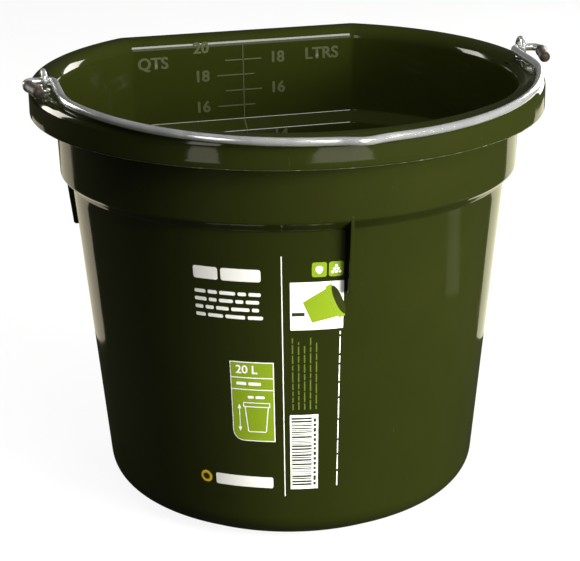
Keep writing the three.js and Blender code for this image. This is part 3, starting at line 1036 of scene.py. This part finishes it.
for hand, side in (("left", -1), ("right", 1)):
    bm = bmesh.new()
    bmesh.ops.create_cube(bm, size=1.0)
    size = (BOSS_OUTER - BOSS_INNER, BOSS_LENGTH, BOSS_TOP - BOSS_BOTTOM)
    place = (side * (BOSS_INNER + BOSS_OUTER) / 2, pivot.y, (BOSS_BOTTOM + BOSS_TOP) / 2)
    bmesh.ops.scale(bm, vec=size, verts=bm.verts)
    edges = list(bm.edges)
    bmesh.ops.bevel(bm, geom=edges, offset=0.0007, segments=3, profile=0.5, affect="EDGES")
    bmesh.ops.translate(bm, vec=place, verts=bm.verts)
    boss_mesh = bpy.data.meshes.new("rim_boss")
    bm.to_mesh(boss_mesh)
    bm.free()
    mounted("rim_boss_" + hand, boss_mesh, olive)

# ---- Bail ----
# One length of round steel wire, zinc plated, bent to a bow that lies on the front of the rim. It
# has a shallow bend in the middle for the hand, and each end is bent to a U that hooks the eye.

WIRE = 0.00278
DROP = math.radians(2.9)
BOW_HALF_WIDTH, BOW_REACH = 0.1765, 0.181
BEND = 0.0055
LEG_X, BACK_X = 0.1695, 0.1888
TURN_IN = math.radians(14)
TIP_LENGTH = 0.022
HAND_RISE, HAND_WIDTH = 0.0035, 0.011


def smooth_line(points, per_step):
    """A Catmull-Rom line through points, spaced by their distances."""
    points = [Vector(p) for p in points]
    line = []
    for i in range(len(points) - 1):
        p1, p2 = points[i], points[i + 1]
        p0 = points[i - 1] if i else p1 + (p1 - p2)
        p3 = points[i + 2] if i + 2 < len(points) else p2 + (p2 - p1)
        steps = max(1, math.ceil((p2 - p1).length / per_step))
        d0, d1, d2 = (max(math.sqrt((b - a).length), 1e-6) for a, b in ((p0, p1), (p1, p2), (p2, p3)))
        t1 = ((p1 - p0) / d0 - (p2 - p0) / (d0 + d1) + (p2 - p1) / d1) * d1
        t2 = ((p2 - p1) / d1 - (p3 - p1) / (d1 + d2) + (p3 - p2) / d2) * d1
        for k in range(steps):
            t = k / steps
            a = p1 * (2 * t**3 - 3 * t**2 + 1) + t1 * (t**3 - 2 * t**2 + t)
            line.append(a + p2 * (-2 * t**3 + 3 * t**2) + t2 * (t**3 - t**2))
    line.append(points[-1])
    return line


def bow_point(x, ahead):
    """A place in the bail's own plane, ahead of the pivot line, as it rests on the rim."""
    return Vector((x, pivot.y - ahead * math.cos(DROP), pivot.z - ahead * math.sin(DROP)))


tip_start = (
    BACK_X - BEND + BEND * math.cos(TURN_IN),
    BEND + BEND * math.sin(TURN_IN),
)
tip_way = (-math.sin(TURN_IN), math.cos(TURN_IN))
tip_steps = (TIP_LENGTH, 0.011, 0.004)
half = [(tip_start[0] + tip_way[0] * a, tip_start[1] + tip_way[1] * a) for a in tip_steps]
for t in np.linspace(TURN_IN, -math.pi / 2, 10):
    half.append((BACK_X - BEND + BEND * math.cos(t), BEND + BEND * math.sin(t)))
for t in np.linspace(-math.pi / 2, -math.pi, 9):
    half.append((LEG_X + BEND + BEND * math.cos(t), BEND + BEND * math.sin(t)))
half += [(LEG_X + 0.0001, 0.030), (LEG_X - 0.0002, 0.045)]
for t in np.linspace(0.33, math.pi / 2, 60):
    x = BOW_HALF_WIDTH * math.cos(t)
    half.append((x, BOW_REACH * math.sin(t) + HAND_RISE * math.exp(-((x / HAND_WIDTH) ** 2))))
whole = half + [(-x, y) for x, y in half[-2::-1]]
bail_path = smooth_line([bow_point(x, y) for x, y in whole], 0.0022)
bail_piece = piece("bail_wire", *swept(bail_path, WIRE, 28), zinc, "bail")
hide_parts("bail")

# ---- Hook caps ----
# A dark brown plastic sleeve is pushed over each hook's cut end, so that it cannot scratch. It has
# a domed end, a thin collar at its mouth and the faint grain of a soft moulding.

cap_plastic, cap_tree, cap_shader = finish_of(
    "cap_plastic", IOR=1.48, Specular_IOR_Level=0.4, Sheen_Weight=0.08
)
cap_surface = placed(cap_tree, moulded, Wave_Size=180.0, Skin_Size=2600.0, Skin_Share=0.8)
cap_wear = placed(cap_tree, wear, Scratch_Size=220.0, Amount=0.9)
cap_patches = cap_surface.outputs["Patches"]
cap_colour = mixed(cap_tree, cap_patches, (0.0150, 0.0100, 0.0070, 1), (0.0220, 0.0150, 0.0105, 1))
cap_colour = mixed(cap_tree, cap_wear.outputs["Marks"], cap_colour, (0.07, 0.055, 0.042, 1))
cap_rough = ranged(cap_tree, cap_patches, 0.32, 0.5)
fed(cap_tree, cap_shader, Base_Color=cap_colour, Roughness=cap_rough)
bumped(cap_tree, cap_shader, cap_surface.outputs["Height"], 0.5, 0.0003)

CAP_RADIUS, CAP_LENGTH, CAP_BORE, CAP_FLOOR = 0.00418, 0.0225, 0.0030, 0.0030
cap_outline = (
    [(CAP_BORE, 0.003), (CAP_BORE, 0.0004), (CAP_BORE + 0.0003, 0.0)]
    + arc((CAP_RADIUS - 0.0007, 0.0007), 0.0007, -90, 0, 4)
    + [(CAP_RADIUS, 0.0022)]
    + arc((CAP_RADIUS - 0.0001, 0.0026), 0.0002, 0, 90, 2)
    + [(CAP_RADIUS - 0.0002, 0.0030), (CAP_RADIUS - 0.0002, 0.010)]
    + arc((CAP_RADIUS - 0.0039, CAP_LENGTH - 0.0038), 0.0037, 0, 88, 9)
    + [(0.0001, CAP_LENGTH)]
)
for hand, side in (("left", -1), ("right", 1)):
    verts, faces = turned_piece(cap_outline, 40)
    ahead = TIP_LENGTH + GAP + CAP_FLOOR - CAP_LENGTH
    base = bow_point(side * (tip_start[0] + tip_way[0] * ahead), tip_start[1] + tip_way[1] * ahead)
    reach = bow_point(side * (tip_start[0] + tip_way[0]), tip_start[1] + tip_way[1])
    way = reach - bow_point(side * tip_start[0], tip_start[1])
    turn = Vector((0, 0, 1)).rotation_difference(way.normalized()).to_matrix()
    verts = [tuple(base + turn @ Vector(v)) for v in verts]
    item = piece("hook_cap_%s_moulded" % hand, verts, faces, cap_plastic, "bail")
    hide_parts("hook_cap_" + hand)

# ---- Floor and light ----
# A plain white sheet under a soft front box, a key light and a top light for the matt colours, and
# side boxes, windows and lit strips of the sheet that stand in the bucket's gloss. The camera sees
# the sheet nearly evenly white, and the gloss sees it dark.

floor_mesh = bpy.data.meshes.new("floor")
floor_mesh.from_pydata([(-6, -6, 0), (6, -6, 0), (6, 6, 0), (-6, 6, 0)], [], [(0, 1, 2, 3)])
floor = bpy.data.objects.new("floor", floor_mesh)
bpy.context.collection.objects.link(floor)
paper, paper_tree, paper_shader = finish_of("pale_floor", Specular_IOR_Level=0.0, Roughness=0.9)
paper_path = node(paper_tree, "ShaderNodeLightPath")
paper_camera = paper_path.outputs["Is Camera Ray"]
paper_seen = mixed(paper_tree, paper_camera, (0.03, 0.03, 0.02, 1), (0.9, 0.9, 0.9, 1))
fed(paper_tree, paper_shader, Base_Color=paper_seen)
paper_glow = node(paper_tree, "ShaderNodeEmission", in_0=(1, 1, 1, 1), in_1=1.0)
paper_mix = node(
    paper_tree,
    "ShaderNodeMixShader",
    [(1, paper_shader.outputs[0]), (2, paper_glow.outputs[0])],
)
paper_tree.links.new(sums(paper_tree, "MULTIPLY", paper_camera, 0.9), paper_mix.inputs[0])
fed(paper_tree, paper_tree.nodes["Material Output"], Surface=paper_mix.outputs[0])
floor_mesh.materials.append(paper)

world = bpy.data.worlds.new("studio")
bpy.context.scene.world = world
world.use_nodes = True
world_tree = world.node_tree
world_back = world_tree.nodes["Background"]
world_camera = node(world_tree, "ShaderNodeLightPath").outputs["Is Camera Ray"]
world_back.inputs[0].default_value = (1, 1, 1, 1)
world_tree.links.new(ranged(world_tree, world_camera, 0.03, 0.92), world_back.inputs[1])


def soft_box(name, place, aim, width, height, radiance, colour=(1, 1, 1), lights=True, shines=True):
    """A soft box that looks at a point; lights is for matt surfaces, shines for reflections."""
    light = bpy.data.lights.new(name, "AREA")
    light.shape = "RECTANGLE"
    light.size = width
    light.size_y = height
    light.energy = radiance * math.pi * width * height
    light.color = colour
    item = bpy.data.objects.new(name, light)
    bpy.context.collection.objects.link(item)
    item.location = place
    item.rotation_euler = (Vector(aim) - Vector(place)).to_track_quat("-Z", "Y").to_euler()
    item.visible_camera = False
    item.visible_diffuse = lights
    item.visible_glossy = shines
    return item


def lit_strip(name, x, y, turn, width, length, radiance, colour):
    """A strip of the sheet, seen only in the bucket's gloss."""
    strip = soft_box(name, (x, y, 0.003), (x, y, 1), width, length, radiance, colour, lights=False)
    strip.rotation_euler = (math.pi, 0, math.radians(turn))


middle = Vector((0, AXIS_Y, 0.16))
soft_box("box_front", (0.55, -2.0, 1.65), middle, 0.95, 0.75, 13, (1.0, 0.99, 0.96))
soft_box("box_key", (1.35, -1.60, 0.66), middle, 1.1, 0.9, 52, (1.0, 0.98, 0.95), shines=False)
soft_box("box_top", (-0.2, -0.2, 1.9), middle, 1.4, 1.4, 4.8, shines=False)
soft_box("box_left", (-1.35, 1.25, 0.62), middle, 0.6, 0.9, 9, (1.0, 0.96, 0.88))
soft_box("box_right", (1.35, 1.25, 0.60), middle, 0.6, 0.9, 9, (1.0, 0.96, 0.88))
soft_box("window_right", (0.32, -2.2, 0.75), middle, 1.0, 1.1, 1.8, (1.0, 0.98, 0.9), lights=False)
soft_box("window_left", (-1.65, -1.45, 0.75), middle, 0.5, 1.1, 2.8, (1.0, 0.98, 0.92), lights=False)
lit_strip("strip_left", -0.315, 0.686, 33, 0.40, 0.8, 0.75, (1.0, 0.90, 0.66))
lit_strip("strip_right", 0.587, 0.531, -57, 0.44, 0.9, 1.2, (1.0, 0.97, 0.68))
lit_strip("strip_front", 0.166, -1.33, 7, 0.50, 0.62, 1.8, (1.0, 0.97, 0.80))
lit_strip("strip_front_left", -0.98, -0.86, -48, 0.26, 0.60, 1.6, (1.0, 0.95, 0.80))
lit_strip("strip_far", 0.56, -0.14, -108, 0.09, 0.26, 0.35, (1.0, 0.98, 0.75))

# ---- Camera ----
# Stands 1.3 m away, a little left of the front, and looks down on the rim through a long lens that
# keeps the bucket's sides nearly straight.

CAMERA_PLACE = Vector((-0.3169, -1.2147 + AXIS_Y, 0.5973))
CAMERA_AIM = Vector((0.0006, AXIS_Y, 0.1497))
CAMERA_ROLL = math.radians(-0.68)

camera_data = bpy.data.cameras.new("camera")
camera_data.sensor_fit = "HORIZONTAL"
camera_data.sensor_width = 36.0
camera_data.lens = 110.19
camera_data.clip_end = 50
camera = bpy.data.objects.new("camera", camera_data)
bpy.context.collection.objects.link(camera)
camera.location = CAMERA_PLACE
facing = (CAMERA_AIM - CAMERA_PLACE).to_track_quat("-Z", "Y").to_matrix()
camera.rotation_euler = (facing @ Matrix.Rotation(CAMERA_ROLL, 3, "Z")).to_euler()
bpy.context.scene.camera = camera
bpy.context.scene.view_settings.view_transform = "Standard"
